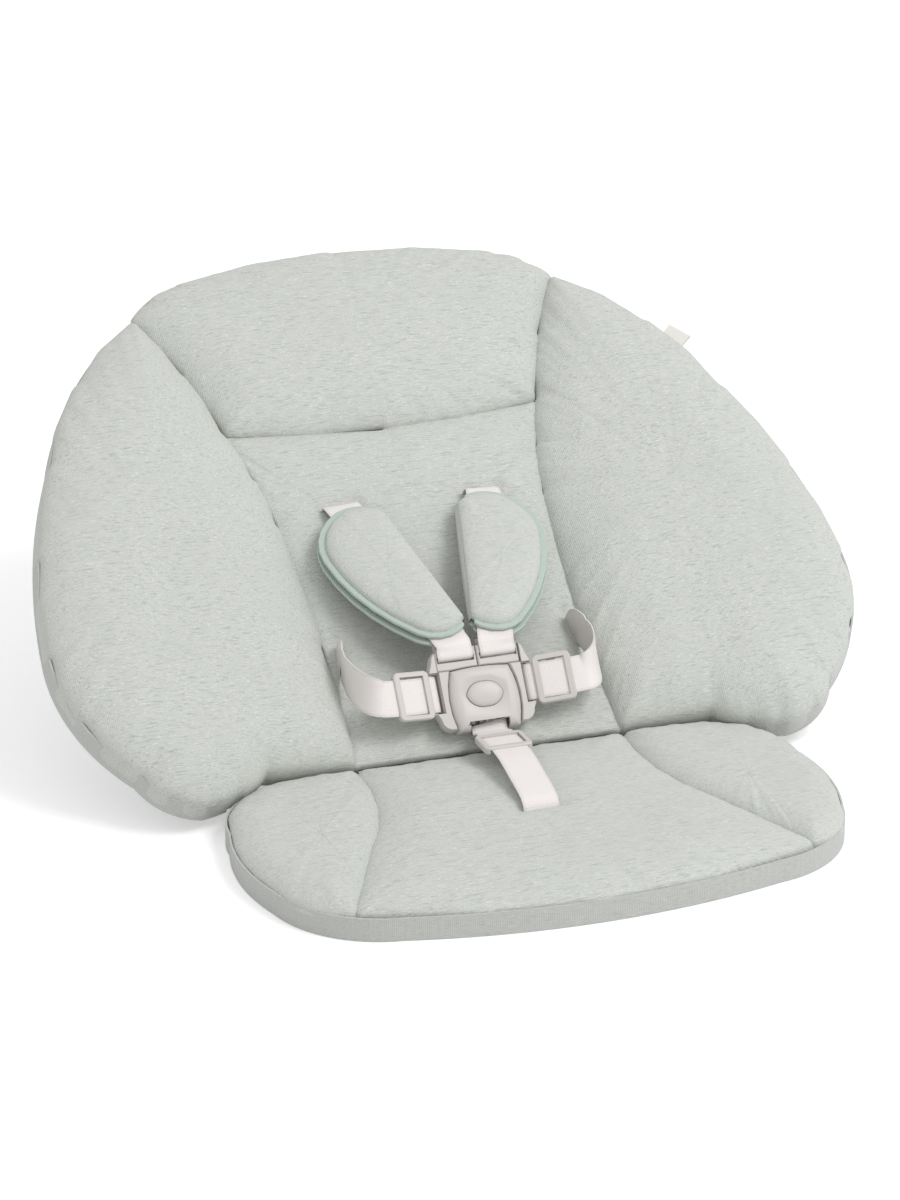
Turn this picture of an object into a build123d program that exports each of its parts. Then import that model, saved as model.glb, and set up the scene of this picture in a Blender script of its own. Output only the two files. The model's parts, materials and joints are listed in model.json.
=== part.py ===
from build123d import *
import os
from math import asin, atan2, cos, degrees, radians, sin, sqrt

# Padded newborn seat insert for a high chair, with a five-point harness.
# The seat cushion lies on the floor plane, the back rises from the crease between them.
# X runs to the right as the viewer of the front sees it, Y to the back, Z up, in millimetres.
# The origin is on the ground under the middle of the crease.

# Overall sizes
seat_half_width = 205.0
seat_depth = 229.0
back_length = 440.0
wing_half_width = seat_half_width + 84.0
crease_half_width = 97.0
head_corner_half = 160.0
head_corner_length = 396.0
head_seam_half = 117.0
head_seam_length = 292.0
head_seam_dip = 12.0

# Posture at rest
recline = 32.5
wing_fold = 9.0
fold_height = 15.0

# Thicknesses of the seat, from the ground up
cover_thickness = 1.2
seat_foam_top = 7.0
board_thickness = 2.5
seat_board_thickness = 3.4
seat_rim = 14.0
seat_top = 27.0
gusset_height = 16.0
gusset_thickness = 1.4

# Heights of the back's layers over its fold plane
back_rear = -11.6
board_front = -2.5
centre_rim = 2.5
centre_top = 8.5
head_rim = 3.5
head_top = 20.0
wing_rim = 4.0
wing_top = 26.0
pad_wall = 1.5

# Gaps between sewn pieces
crease_gap = 3.0
seam_gap = 0.8
layer_gap = 0.2
rim_gap = 0.3

# Webbing, its slots and its anchor bars
webbing_width = 25.0
webbing_thickness = 1.2
slot_length = webbing_width + 5.0
slot_width = 5.6
waist_slot_length = webbing_width + 20.0
bar_diameter = 3.0
bar_length = webbing_width + 13.0
bar_depth = 7.2
shoulder_slot_x = 52.0
shoulder_slot_s = 216.0
waist_slot_x = 84.0
waist_slot_s = 87.0
waist_slot_slant = 8.8
crotch_slot_y = -107.0

# Buckle
buckle_tilt = 54.0
buckle_y = 17.0
buckle_z = 57.5
tongue_half_width = webbing_width + 4.6
body_half_width = tongue_half_width - 4.6
body_top = 14.0
body_bottom = -29.0
buckle_front = 6.8
buckle_rear = -8.0
shell_wall = 1.5
notch_half = webbing_width / 2 + 1.5
notch_height = 6.0
button_half_x = 13.0
button_half_y = 8.6
button_y = -4.5
button_travel = 2.4
button_gap = 0.3
prong_tip = 6.2
prong_half = 5.0
prong_top = -0.5
prong_bottom = -2.6
ear_half_width = tongue_half_width + 8.8
ear_slot_inner = tongue_half_width + 0.2
ear_slot_outer = ear_slot_inner + 4.2
ear_top = 1.8
ear_bottom = -3.0
tongue_height = 29.0
tongue_bar = 4.4
tongue_slot = 4.2
tongue_front = 3.4
tongue_rear = -2.2
peg_x = tongue_half_width - 2.8

# Sliders
slider_length = 27.0
slider_width = webbing_width + 9.0
slider_window = 18.0
slider_bar = 6.0
slider_clearance = 0.75
slider_rise = 2.6
slider_depth = 2.4
slider_tilt = 12.0

# Shoulder pads
pad_lobe = 9.0
pad_channel = 2.4
pad_binding = 5.0
binding_thickness = 2.4

back_frame = Plane(
    origin=(0, 0, fold_height),
    x_dir=(1, 0, 0),
    z_dir=(0, -sin(radians(recline)), cos(radians(recline))),
)
buckle_frame = Plane(
    origin=(0, buckle_y, buckle_z),
    x_dir=(1, 0, 0),
    z_dir=(0, -sin(radians(buckle_tilt)), cos(radians(buckle_tilt))),
)
parts = {}


def on_back(x, s, h):
    """World point from the back's own width, length from the crease and height over its fold plane."""
    return back_frame.from_local_coords(Vector(x, s, h))


def on_buckle(x, y, z):
    """World point from the buckle's own width, height and depth."""
    return buckle_frame.from_local_coords(Vector(x, y, z))


def ring(outline, centre, inset=0.0, chords=0):
    """Closed wire through corner, through point, corner and so on, drawn in toward a centre.

    Each stretch is an arc, or that many chords of it.
    """
    if chords:
        return Wire.make_polygon(chord_points(outline, centre, inset, chords))
    return Wire(ring_edges(outline, centre, inset))


def chord_points(outline, centre, inset, chords):
    """Points along the outline's arcs, as many to each."""
    return [e @ (k / chords) for e in ring_edges(outline, centre, inset) for k in range(chords)]


def ring_edges(outline, centre, inset):
    """The outline's arcs, drawn in toward a centre."""
    points = ring_points(outline, centre, inset)
    edges = []
    for i in range(0, len(points), 2):
        a, m, b = points[i], points[i + 1], points[(i + 2) % len(points)]
        bow = (m[0] - a[0]) * (b[1] - a[1]) - (m[1] - a[1]) * (b[0] - a[0])
        chord = (b[0] - a[0]) ** 2 + (b[1] - a[1]) ** 2
        edges.append(Line(a, b) if abs(bow) < 1e-3 * chord else ThreePointArc(a, m, b))
    return edges


def plate(outline, centre, inset, low, high, chords=0):
    """Flat piece with the outline drawn in by inset, from one height to another."""
    face = make_face(ring(outline, centre, inset, chords))
    return extrude(Plane.XY.offset(low) * face, high - low)


def rim_band(outline, centre, low):
    """Thin gusset that stands just outside an outline."""
    outside = plate(outline, centre, -gusset_thickness - rim_gap, low, low + gusset_height)
    return outside - plate(outline, centre, -rim_gap, low - 1, low + gusset_height + 1)


def cushion(outline, centre, bottom, rim, top, crown, tuck=1.2, steps=4, chords=4):
    """Cushion with sides drawn in below its rim and a crown that rises as a quarter ellipse."""
    levels = [(bottom, tuck)]
    for i in range(steps + 1):
        turn = radians(90.0 * i / steps)
        levels.append((rim + (top - rim) * sin(turn), crown * (1 - cos(turn))))
    return stack(outline, centre, levels, chords)


def stack(outline, centre, levels, chords):
    """Solid through copies of an outline, each level a height and how far it's drawn in."""
    return skin([
        [p + Vector(0, 0, h) for p in chord_points(outline, centre, i, chords)] for h, i in levels
    ])


def skin(rings):
    """Solid with flat ends through rings of points, each joined to the next by flat triangles."""
    faces = [Face(Wire.make_polygon(rings[0])), Face(Wire.make_polygon(rings[-1]))]
    for near, far in zip(rings, rings[1:]):
        for i in range(len(near)):
            j = (i + 1) % len(near)
            faces.append(Face(Wire.make_polygon([near[i], near[j], far[j]])))
            faces.append(Face(Wire.make_polygon([near[i], far[j], far[i]])))
    return Solid(Shell(faces))


def loose_filling(outline, centre, bottom, rim, top, crown, tuck=1.2):
    """The space inside a cushion's cover, for a light loose filling that has no solid of its own."""
    inner = ring_points(outline, centre, 2.0 * pad_wall)
    low, high = bottom + pad_wall, top - pad_wall
    return cushion(inner, centre, low, rim, high, crown + pad_wall, tuck, steps=2, chords=2)


def hollow_cushion(outline, centre, bottom, rim, top, crown):
    """The same cushion as its cover alone, closed round the light loose filling."""
    shell = cushion(outline, centre, bottom, rim, top, crown)
    return shell - loose_filling(outline, centre, bottom, rim, top, crown)


def ring_points(outline, centre, inset):
    """The outline's points drawn in toward a centre."""
    reach_x = max(abs(x - centre[0]) for x, y in outline)
    reach_y = max(abs(y - centre[1]) for x, y in outline)
    return [
        (
            centre[0] + (x - centre[0]) * (1 - inset / reach_x),
            centre[1] + (y - centre[1]) * (1 - inset / reach_y),
        )
        for x, y in outline
    ]


def webbing(points, across, width=webbing_width, thickness=webbing_thickness):
    """Webbing through world points, with the direction of its width given at each."""
    corners = []
    for i, point in enumerate(points):
        along = (points[min(i + 1, len(points) - 1)] - points[max(i - 1, 0)]).normalized()
        wide = (across[i] - along * along.dot(across[i])).normalized() * (width / 2)
        deep = along.cross(wide).normalized() * (thickness / 2)
        corners.append([point + wide + deep, point - wide + deep, point - wide - deep, point + wide - deep])
    return skin(corners)


def turn_points(centre, radius, start, end, count):
    """Points on an arc in a plane, from one angle in degrees to another."""
    angles = [radians(start + (end - start) * i / (count - 1)) for i in range(count)]
    return [(centre[0] + radius * cos(a), centre[1] + radius * sin(a)) for a in angles]


def mirrored(shape):
    """Left-hand copy of a right-hand piece."""
    return mirror(shape, about=Plane.YZ)


# Outlines of the seat, flat on the ground
seam_front_x, seam_front_y = 0.766 * seat_half_width, -0.873 * seat_depth
seat_side = [
    (0.683 * seat_half_width, -crease_gap),
    (0.883 * seat_half_width, -0.078 * seat_depth),
    (0.976 * seat_half_width, -0.271 * seat_depth),
    (seat_half_width, -0.437 * seat_depth),
    (0.956 * seat_half_width, -0.664 * seat_depth),
]
seat_seam = [
    (crease_half_width - 1, -crease_gap),
    (crease_half_width + 2, -0.27 * seat_depth),
    (0.595 * seat_half_width, -0.524 * seat_depth),
    (0.663 * seat_half_width, -0.664 * seat_depth),
    (seam_front_x, seam_front_y),
]
seat_front = [
    (0.956 * seat_half_width, -0.664 * seat_depth),
    (0.854 * seat_half_width, -0.830 * seat_depth),
    (0.624 * seat_half_width, -0.930 * seat_depth),
]
seat_centre = (0.0, -0.48 * seat_depth)


def seat_outline():
    """Whole outline of the seat: rear edge, rounded corners, sides and bowed front edge."""
    right = seat_side[:-1] + seat_front
    left = [(-x, y) for x, y in reversed(right)]
    return [(0.0, -crease_gap), (40.0, -crease_gap)] + right + [(0.0, -seat_depth)] + left + [
        (-40.0, -crease_gap)
    ]


def seat_centre_outline():
    """Middle pad of the seat, between the two seams and behind the bowed front."""
    right = [(x - seam_gap, y) for x, y in seat_seam]
    left = [(-x, y) for x, y in reversed(right)]
    return right + [(0.0, -seat_depth + 1.5)] + left + [(0.0, -crease_gap)]


def seat_wing_outline():
    """Right pad of the seat, from the seam out to the rounded side."""
    seam = [(x + seam_gap, y) for x, y in reversed(seat_seam)]
    corner = [(0.878 * seat_half_width, -0.805 * seat_depth)]
    side = [(0.99 * x, y) for x, y in reversed(seat_side)]
    rear = [(0.5 * (side[-1][0] + seam[-1][0]), -crease_gap)]
    return side + rear + list(reversed(seam)) + corner


# Outlines of the back, flat in its fold plane
back_seam = [
    (crease_half_width, crease_gap),
    (crease_half_width - 3.5, 0.29 * head_corner_length),
    (crease_half_width + 1.5, 0.52 * head_corner_length),
    (crease_half_width + 8.0, 0.626 * head_corner_length),
    (head_seam_half, head_seam_length - 3.0),
    (0.5 * (head_seam_half + head_corner_half) - 5, 0.5 * (head_seam_length + head_corner_length)),
    (head_corner_half, head_corner_length),
]
head_rim_right = [
    (head_corner_half, head_corner_length),
    (0.906 * head_corner_half, head_corner_length + 0.36 * (back_length - head_corner_length)),
    (0.762 * head_corner_half, head_corner_length + 0.64 * (back_length - head_corner_length)),
]
wing_rim_right = [
    (head_corner_half, head_corner_length),
    (0.737 * wing_half_width, 0.862 * head_corner_length),
    (0.869 * wing_half_width, 0.672 * head_corner_length),
    (0.969 * wing_half_width, 0.442 * head_corner_length),
    (wing_half_width, 0.265 * head_corner_length),
    (0.965 * wing_half_width, 0.126 * head_corner_length),
    (0.862 * wing_half_width, 0.018 * head_corner_length),
    (0.799 * wing_half_width, -0.035 * head_corner_length),
    (0.723 * wing_half_width, -0.053 * head_corner_length),
    (0.640 * wing_half_width, -0.033 * head_corner_length),
    (0.554 * wing_half_width, crease_gap),
]


def spine_outline():
    """Middle of the back: centre and head together, from the crease to the top rim."""
    right = [(x - seam_gap, y) for x, y in back_seam[:-1]] + [
        (x - seam_gap, y) for x, y in head_rim_right
    ]
    left = [(-x, y) for x, y in reversed(right)]
    return right + [(0.0, back_length)] + left + [(0.0, crease_gap)]


def centre_pad_outline():
    """Recessed middle pad of the back, below the bowed head seam."""
    right = [(x - seam_gap, y) for x, y in back_seam[:4]]
    right += [(head_seam_half - seam_gap, head_seam_length - seam_gap - 3.0)]
    left = [(-x, y) for x, y in reversed(right)]
    middle = [(0.0, head_seam_length - head_seam_dip - seam_gap)]
    return right + middle + left + [(0.0, crease_gap)]


def head_pad_outline():
    """Head pad, from the bowed seam to the top rim."""
    right = [(x - seam_gap, y) for x, y in back_seam[4:-1]] + [
        (x - seam_gap, y) for x, y in head_rim_right
    ]
    right[0] = (right[0][0], right[0][1] + 2 * seam_gap)
    left = [(-x, y) for x, y in reversed(right)]
    bow = [(0.0, head_seam_length - head_seam_dip + seam_gap)]
    return right + [(0.0, back_length)] + left + bow


def wing_outline():
    """Right wing of the back, from its seam out to the rim and down to the crease."""
    seam = [(x + seam_gap, y) for x, y in back_seam]
    rear = [(0.5 * (seam[0][0] + wing_rim_right[-1][0]), crease_gap)]
    return seam + [wing_rim_right[1]] + wing_rim_right[2:] + rear


spine_centre = (0.0, 0.5 * back_length)
centre_pad_centre = (0.0, 0.5 * head_seam_length)
head_centre = (0.0, 0.5 * (head_seam_length + back_length))
wing_centre = (0.65 * wing_half_width, 0.42 * head_corner_length)
seat_wing_centre = (0.74 * seat_half_width, -0.43 * seat_depth)
wing_axis = Axis(
    (crease_half_width, 0, 0),
    (head_corner_half - crease_half_width, head_corner_length, 0),
)


def through_slot(x, y, length, slant=0.0):
    """Tool that cuts a webbing slot through any layer."""
    tool = Box(length, slot_width, 80)
    return Location((x, y, 0), (0, 0, slant)) * tool


def bar_window(x, y, slant=0.0):
    """Tool that clears the foam round an anchor bar."""
    tool = Box(bar_length + 5, 13, 80)
    return Location((x, y, 0), (0, 0, slant)) * tool


def anchor_bar(start, end):
    """Round bar that keeps a webbing loop behind a board."""
    direction = (end - start).normalized()
    bar = Cylinder(bar_diameter / 2, (end - start).length)
    return Plane(origin=(start + end) * 0.5, z_dir=direction) * bar


def seat():
    """Seat cushion: base cover, foam, board with the crotch slot, three pads and the gusset."""
    outline = seat_outline()
    slot = through_slot(0, crotch_slot_y, slot_length + 4)
    board_top = seat_foam_top + layer_gap + seat_board_thickness
    parts["seat_base_cover"] = plate(outline, seat_centre, rim_gap, 0, cover_thickness)
    foam = plate(outline, seat_centre, 2.4, cover_thickness + layer_gap, seat_foam_top, chords=2)
    parts["seat_foam"] = foam - bar_window(0, crotch_slot_y)
    board = plate(outline, seat_centre, 8.0, seat_foam_top + layer_gap, board_top, chords=2)
    parts["seat_board"] = board - slot
    bottom = board_top + layer_gap
    middle = cushion(seat_centre_outline(), (0, -0.48 * seat_depth), bottom, seat_rim, seat_top, 46)
    parts["seat_centre_pad"] = middle - slot
    wing = cushion(seat_wing_outline(), seat_wing_centre, bottom, seat_rim, seat_top - 1, 26)
    parts["seat_right_pad"] = wing
    parts["seat_left_pad"] = mirrored(wing)
    open_rear = Box(2 * crease_half_width, 30, 60)
    parts["seat_gusset"] = rim_band(outline, seat_centre, 0) - open_rear
    reach = bar_length / 2
    height = seat_foam_top + layer_gap - bar_depth + 4.3
    parts["crotch_anchor_bar"] = anchor_bar(
        Vector(-reach, crotch_slot_y, height), Vector(reach, crotch_slot_y, height)
    )


def slot_ends(x, s, slant, half):
    """The two ends of a bar behind a slot of the back, in the back's own coordinates."""
    dx, ds = half * cos(radians(slant)), half * sin(radians(slant))
    return on_back(x - dx, s - ds, -bar_depth), on_back(x + dx, s + ds, -bar_depth)


def spine():
    """Middle of the back: rear cover, foam, board, centre pad, head pad and head gusset."""
    outline = spine_outline()
    waist_slant = 90 + waist_slot_slant
    slot_places = []
    for side in (1, -1):
        slant = waist_slant if side == 1 else 180 - waist_slant
        slot_places.append((side * shoulder_slot_x, shoulder_slot_s, slot_length, 0))
        slot_places.append((side * waist_slot_x, waist_slot_s, waist_slot_length, slant))
    board_rear = board_front - board_thickness
    cover_top = back_rear + cover_thickness
    cover = plate(outline, spine_centre, rim_gap, back_rear, cover_top)
    foam = plate(outline, spine_centre, 2.4, cover_top + layer_gap, board_rear - layer_gap, 2)
    loose = plate(outline, spine_centre, 4.4, cover_top + 1.2, board_rear - 1.2, 2)
    board = plate(outline, spine_centre, 3.5, board_rear, board_front, 2)
    pad_low = board_front + layer_gap
    middle_shape = (centre_pad_outline(), centre_pad_centre, pad_low, centre_rim, centre_top, 30)
    middle = cushion(*middle_shape, tuck=0.8)
    filling = loose_filling(*middle_shape, tuck=0.8)
    for x, y, length, slant in slot_places:
        slot, window = through_slot(x, y, length, slant), bar_window(x, y, slant)
        filling -= Location((x, y, 0), (0, 0, slant)) * Box(length + 5, slot_width + 5, 80)
        loose -= Location((x, y, 0), (0, 0, slant)) * Box(bar_length + 8, 16, 80)
        foam -= window
        board -= slot
        middle -= slot
    middle -= filling
    foam -= loose
    head = hollow_cushion(head_pad_outline(), head_centre, pad_low, head_rim, head_top, 52)
    band = rim_band(outline, spine_centre, back_rear)
    rise = back_length - head_corner_length
    keep = Location((0, back_length, 0)) * Box(2 * head_corner_half - 3, 2 * rise - 8, 80)
    shapes = {
        "rear_cover": cover,
        "back_foam": foam,
        "back_board": board,
        "back_centre_pad": middle,
        "head_pad": head,
        "head_gusset": band & keep,
    }
    for name, shape in shapes.items():
        parts[name] = back_frame * shape
    for side, name in ((1, "right"), (-1, "left")):
        ends = slot_ends(side * shoulder_slot_x, shoulder_slot_s, 0, bar_length / 2)
        parts[f"shoulder_anchor_{name}"] = anchor_bar(*ends)
        slant = waist_slant if side == 1 else 180 - waist_slant
        ends = slot_ends(side * waist_slot_x, waist_slot_s, slant, bar_length / 2)
        parts[f"waist_anchor_{name}"] = anchor_bar(*ends)


def wings():
    """Side wings of the back: thick pad, gusset round the rim and rear cover, folded a little forward."""
    outline = wing_outline()
    low = back_rear + cover_thickness + layer_gap
    pad = hollow_cushion(outline, wing_centre, low, wing_rim, wing_top, 62)
    cover = plate(outline, wing_centre, rim_gap, back_rear, back_rear + cover_thickness)
    band = rim_band(outline, wing_centre, back_rear)
    seam_side = [(x + 9.0, y) for x, y in back_seam]
    seam_side[0] = (seam_side[0][0], 8.0)
    seam_side[-1] = (head_corner_half + 4.0, head_corner_length + 3.0)
    lower_end = 0.66 * wing_half_width
    opening = Polyline(
        (crease_half_width - 30, -40),
        (lower_end, -40),
        (lower_end, 8.0),
        *seam_side,
        (crease_half_width - 30, head_corner_length + 40),
        close=True,
    )
    band -= Plane.XY.offset(-40) * extrude(make_face(opening), 80)
    shapes = {"wing_pad": pad, "wing_gusset": band, "wing_cover": cover}
    for name, shape in shapes.items():
        folded = shape.rotate(wing_axis, -wing_fold)
        parts[f"right_{name}"] = back_frame * folded
        parts[f"left_{name}"] = back_frame * mirrored(folded)
    label = care_label().rotate(wing_axis, -wing_fold)
    parts["care_label"] = back_frame * label


def care_label():
    """Blank folded label sewn into the right wing's upper rim."""
    fold = [(-3.0, -0.9)] + turn_points((9.0, 0.0), 0.9, -90, 90, 5) + [(-3.0, 0.9)]
    strip = offset_strip(fold, 0.6, 18.0)
    rim = (0.80 * wing_half_width + 0.9, 0.815 * head_corner_length + 0.7, -2)
    return Plane(origin=rim, x_dir=(0.77, 0.64, 0)) * strip


def offset_strip(points, thickness, width):
    """Thin sheet that follows points in a plane, as wide as given across it."""
    line = [Vector(a, 0, b) for a, b in points]
    return webbing(line, [Vector(0, 1, 0)] * len(line), width, thickness)


def loop_in_slot(bend=2.25, apart=1.6):
    """Route of a webbing loop through a slot and round its bar: across the slot, and height."""
    down = [(-apart, 2.0), (-apart, -4.6)]
    round_bar = turn_points((0, -bar_depth), bend, 160, 380, 8)
    return down + round_bar + [(apart, -4.6), (apart, 1.0)]


def strap_line():
    """Straight stretch of the right shoulder strap: lower and upper ends and its three directions."""
    lower = on_buckle(tongue_half_width / 2 + 0.5, tongue_height + 4.0, tongue_front + 1.6)
    upper = on_back(shoulder_slot_x - 0.3, shoulder_slot_s - 8.0, 15.0)
    along = (upper - lower).normalized()
    normal = back_frame.z_dir
    across = along.cross(normal).normalized()
    return lower, upper, along, across


def shoulder_strap():
    """Right shoulder strap: bar behind the board, slot, pad, then round the bar of its tongue."""
    lower, upper, along, across = strap_line()
    side = Vector(1, 0, 0)
    route = [on_back(shoulder_slot_x, shoulder_slot_s + a, h) for a, h in reversed(loop_in_slot())]
    widths = [side] * len(route)
    route += [on_back(shoulder_slot_x, shoulder_slot_s - 2.0, 9.5), upper, lower]
    widths += [side, across, across]
    bar_low = tongue_height - tongue_bar
    loop = [
        (bar_low + 4.0, tongue_front + 1.1),
        (bar_low + 0.4, tongue_front + 1.0),
        (bar_low - 1.6, tongue_front + 0.2),
        (bar_low - 2.3, 1.5),
        (bar_low - 2.3, -0.5),
        (bar_low - 1.6, tongue_rear - 0.2),
        (bar_low + 0.4, tongue_rear - 1.1),
        (bar_low + 6.0, tongue_rear - 1.1),
        (bar_low + 11.0, tongue_rear - 0.4),
    ]
    route += [on_buckle(tongue_half_width / 2 + 0.5, y, z) for y, z in loop]
    widths += [side] * len(loop)
    return webbing(route, widths)


def shoulder_pad():
    """Right shoulder pad and its bindings: a sleeve folded on its inner edge round the strap."""
    lower, upper, along, across = strap_line()
    frame = Plane(origin=lower, x_dir=across, z_dir=across.cross(along))
    edge = -webbing_width / 2 - 4.5
    outline = [
        (edge, 12.0), (edge - 1.6, 68.0), (edge - 3.2, 124.0), (-12.0, 133.0), (6.0, 136.0),
        (24.0, 123.0), (33.0, 100.0), (29.6, 56.6), (14.0, 16.0), (-0.5, 6.2),
    ]
    fold = (edge - 1.0, 70.0)
    half = pad_channel / 2
    rear = [(x + 1.2 * (x > -16), y - 1.2) for x, y in outline]
    front_lobe = cushion(
        ring_points(outline, fold, 3.6), fold, half, half + 2.4, half + pad_lobe, 20, 0.4, 3
    )
    rear_lobe = cushion(
        ring_points(rear, fold, 3.6), fold, half, half + 2.0, half + 0.65 * pad_lobe, 20, 0.4, 2
    )
    hinge = Location((edge + 0.3, 66, 0), (0, 0, 1.6)) * Box(3.4, 92, 2 * half + 3.0)
    pad = front_lobe + mirror(rear_lobe, about=Plane.XY) + hinge
    middle = (4.0, 70.0)
    inner = Location((-30, 70, 0)) * Box(30, 200, 40)
    bindings = []
    for shape, sign in ((outline, 1), (rear, -1)):
        band = plate(shape, middle, -0.8, half + 0.1, half + binding_thickness, 5)
        band -= plate(ring_points(shape, fold, 3.4), fold, 0.0, -1, 10, 4)
        band -= inner
        bindings.append(band if sign == 1 else mirror(band, about=Plane.XY))
    return frame * pad, frame * Compound(children=bindings)


def waist_strap():
    """Right waist strap: bar behind the board, slot, slider, then round the bar of the ear."""
    slant = radians(waist_slot_slant)
    slot_line = back_frame.x_dir * -sin(slant) + back_frame.y_dir * cos(slant)
    up = buckle_frame.y_dir

    def beside_slot(a, h):
        return on_back(waist_slot_x + a * cos(slant), waist_slot_s + a * sin(slant), h)

    route = [beside_slot(-a, h) for a, h in reversed(loop_in_slot())]
    widths = [slot_line] * len(route)
    route += [beside_slot(1.6, 8.0), on_back(waist_slot_x + 2, waist_slot_s - 2, 15.0)]
    widths += [slot_line, slot_line]
    start = slider_line(1)[0]
    outer = start + slider_line(1)[1] * 36.5
    reach = waist_slot_x - outer.X
    route += [
        outer + Vector(reach + 3.5, 46, 7),
        outer + Vector(reach + 4.5, 32, 5.5),
        outer + Vector(reach + 2.0, 16, 3.5),
        outer + Vector(reach - 4.0, 4.5, 1.8),
        outer,
        start,
    ]
    widths += [Vector(-0.1, 0.72, 0.69), Vector(0, 0.58, 0.81), Vector(0, 0.5, 0.87)]
    widths += [Vector(0, 0.5, 0.87), up, up]
    loop = [
        (ear_slot_outer - 0.4, ear_top + 0.7),
        (ear_slot_outer - 1.8, ear_top - 0.5),
        (ear_slot_outer - 2.2, -0.6),
        (ear_slot_outer - 1.8, ear_bottom + 0.4),
        (ear_slot_outer - 0.2, ear_bottom - 1.0),
        (ear_slot_outer + 2.0, ear_bottom - 1.3),
        (ear_slot_outer + 10.0, ear_bottom - 1.0),
    ]
    route += [on_buckle(x, 0, z) for x, z in loop]
    widths += [up] * len(loop)
    return webbing(route, widths)


def slider_line(side):
    """Start of the straight webbing beside the ear and its outward direction."""
    start = on_buckle(side * (ear_slot_outer + 2.5), 0, ear_top + 1.5)
    tilt = radians(slider_tilt)
    outward = buckle_frame.x_dir * (side * cos(tilt)) + buckle_frame.z_dir * sin(tilt)
    return start, outward


def slider(centre, along, normal):
    """Three-bar slide: two raised end bars over the webbing and a centre bar under it."""
    outer = extrude(Plane.XY.offset(-slider_depth) * RectangleRounded(slider_length, slider_width, 4),
                    slider_depth + slider_rise)
    outer = chamfer(outer.edges().group_by(Axis.Z)[0] + outer.edges().group_by(Axis.Z)[-1], 0.8)
    window = Rectangle(slider_window, webbing_width + 2.0)
    frame = outer - extrude(Plane.XY.offset(-10) * window, 20)
    under = Location((0, 0, slider_clearance - 5)) * Box(60, webbing_width + 2.0, 10)
    frame -= under
    bar_height = slider_depth - slider_clearance
    bar = Location((0, 0, -slider_clearance - bar_height / 2))
    frame += bar * Box(slider_bar, slider_width - 2.4, bar_height)
    return Plane(origin=centre, x_dir=along, z_dir=normal) * frame


def crotch_strap():
    """Crotch strap: bar under the seat board, slot, slider, then round the bar inside the buckle."""
    side = Vector(1, 0, 0)
    bar_height = seat_foam_top + layer_gap - bar_depth + 4.3
    route = [Vector(0, crotch_slot_y + a, h + bar_depth + bar_height)
             for a, h in reversed(loop_in_slot())]
    route += [
        Vector(0, crotch_slot_y - 1.6, seat_top - 5.0),
        Vector(0, crotch_slot_y + 0.5, seat_top + 1.0),
        Vector(0, crotch_slot_y + 7.0, seat_top + 4.5),
        Vector(0, crotch_slot_y + 28.0, seat_top + 8.5),
    ]
    start, direction, centre = crotch_slider_line()
    route += [start + direction * 43.0, start]
    tail = [(body_bottom - 2.5, 2.2), (body_bottom + 2.5, 1.0), (body_bottom + 6.0, 0.6)]
    tail += turn_points((body_bottom + 9.0, -1.8), 2.25, 90, -90, 7)
    tail += [(body_bottom + 5.5, -4.1)]
    route += [on_buckle(0, y, z) for y, z in tail]
    return webbing(route, [side] * len(route))


def crotch_slider_line():
    """Straight webbing in front of the buckle: its start, direction and the slider's centre."""
    start = Vector(0, buckle_y - 25.5, buckle_z - 21.0)
    direction = Vector(0, -1, 0.07).normalized()
    return start, direction, start + direction * 21.5


def body_outline():
    """Barrel-shaped middle of the buckle."""
    low = body_bottom
    right = [
        (0.84 * body_half_width, body_top), (body_half_width, -6.0),
        (0.90 * body_half_width, low + 3.0), (0.87 * body_half_width, low + 0.7),
        (0.76 * body_half_width, low),
    ]
    left = [(-x, y) for x, y in reversed(right)]
    return right + [(0.0, low)] + left + [(0.0, body_top + 1.5)]


def oval_outline(half_x, half_y):
    """Oval round the button's centre, as the ends and middles of four arcs."""
    turns = [radians(45 * i) for i in range(8)]
    return [(half_x * cos(t), button_y + half_y * sin(t)) for t in turns]


def button_prism(half_x, half_y, low, high):
    """Straight-sided oval piece round the button's centre."""
    return plate(oval_outline(half_x, half_y), (0.0, button_y), 0, low, high, 9)


def ellipse_stack(levels):
    """Oval piece with sloping sides: each level is a height and two half widths."""
    centre = (0.0, button_y)
    return skin([
        [p + Vector(0, 0, h) for p in chord_points(oval_outline(a, b), centre, 0, 9)] for h, a, b in levels
    ])


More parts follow.
